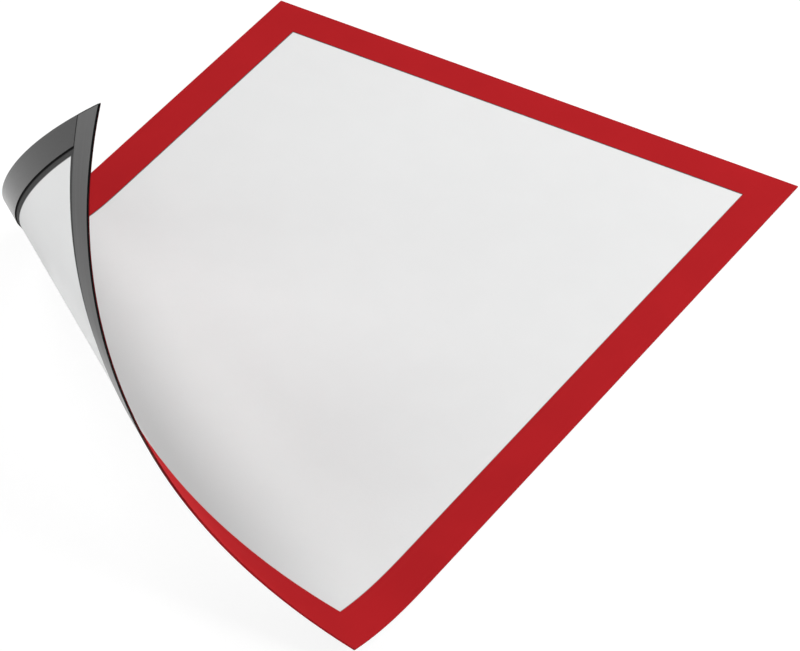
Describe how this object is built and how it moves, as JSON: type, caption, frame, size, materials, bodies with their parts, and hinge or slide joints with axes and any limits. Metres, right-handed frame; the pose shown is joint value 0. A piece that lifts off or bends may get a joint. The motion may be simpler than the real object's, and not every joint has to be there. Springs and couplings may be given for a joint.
{
  "type": "magnetic sign frame",
  "caption": "Flexible magnetic A4 sign frame with a coloured border ring, frosted window film and magnet strips on its back, lying flat with one lower corner curled up and over.",
  "frame": {"origin": "middle of the flat outline, on the surface that the frame lies on", "axes": "+X to the frame's right, +Y to its top edge, +Z the way its front faces"},
  "size_m": [0.2364, 0.3225, 0.1175],
  "materials": {
    "border_face": "satin red film",
    "window_film": "frosted, anti-glare",
    "border_backing": "matt dark grey",
    "adhesive_tape": "clear adhesive, slightly yellow",
    "magnet_strip": "flexible magnetic rubber, satin grey"
  },
  "bodies": {
    "root": {"border_face": "border_face", "window_film": "window_film", "border_backing": "border_backing", "adhesive_tape_top": "adhesive_tape", "adhesive_tape_bottom": "adhesive_tape", "adhesive_tape_left": "adhesive_tape", "adhesive_tape_right": "adhesive_tape", "magnet_strip_top": "magnet_strip", "magnet_strip_bottom": "magnet_strip", "magnet_strip_left": "magnet_strip", "magnet_strip_right": "magnet_strip"}
  },
  "joints": []
}
